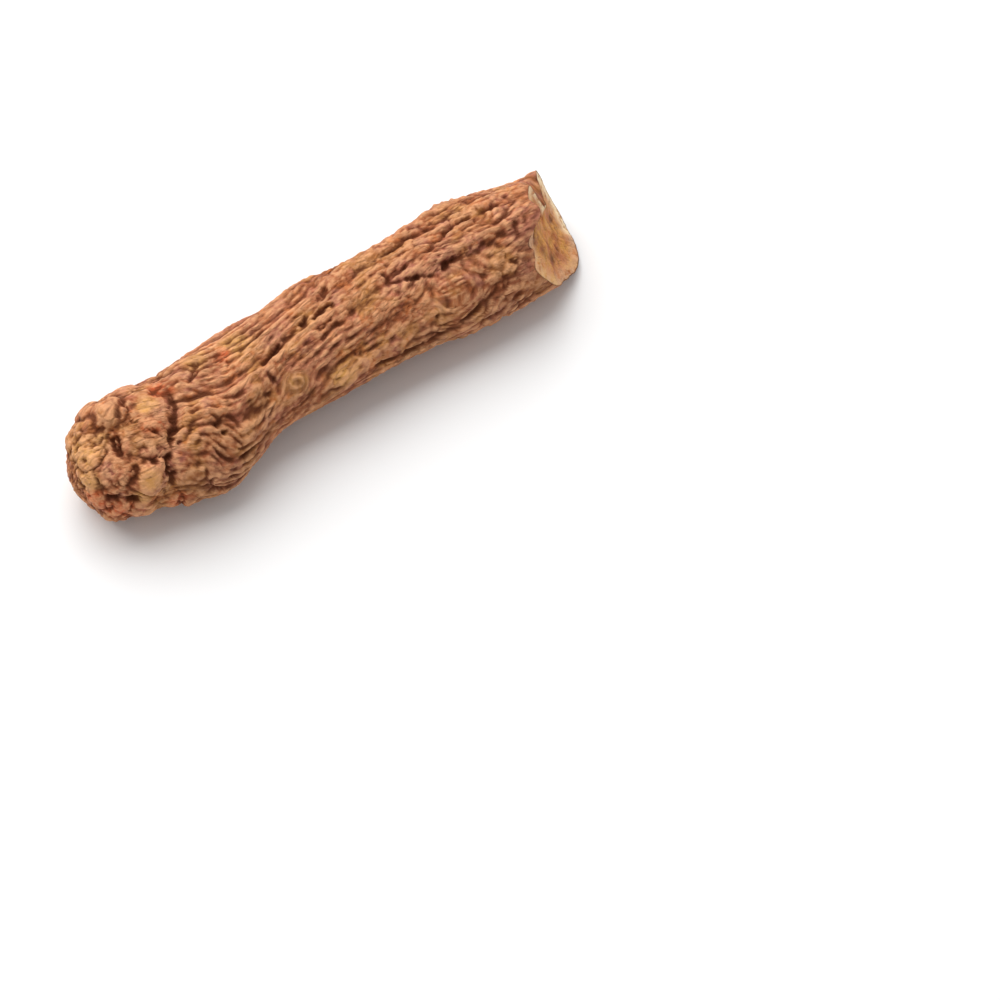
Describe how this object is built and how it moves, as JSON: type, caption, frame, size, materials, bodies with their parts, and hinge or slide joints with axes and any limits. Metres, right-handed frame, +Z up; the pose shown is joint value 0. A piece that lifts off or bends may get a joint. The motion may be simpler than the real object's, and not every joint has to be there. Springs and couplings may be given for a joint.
{
  "type": "roasted codonopsis root",
  "caption": "Stout dried and roasted root lying down: knobbly crown at one end, bent wrinkled body, and a slanting cut at the other end.",
  "frame": {"origin": "on the surface that the root rests on, below the middle of its bounding box", "axes": "+X along the root from the crown to the cut end, +Z up from the surface that it rests on, +Y to its far side"},
  "size_m": [0.089, 0.025, 0.0167],
  "materials": {
    "roasted_skin": "dry, dull to faintly waxy"
  },
  "bodies": {
    "root": {"codonopsis_root": "roasted_skin"}
  },
  "joints": []
}
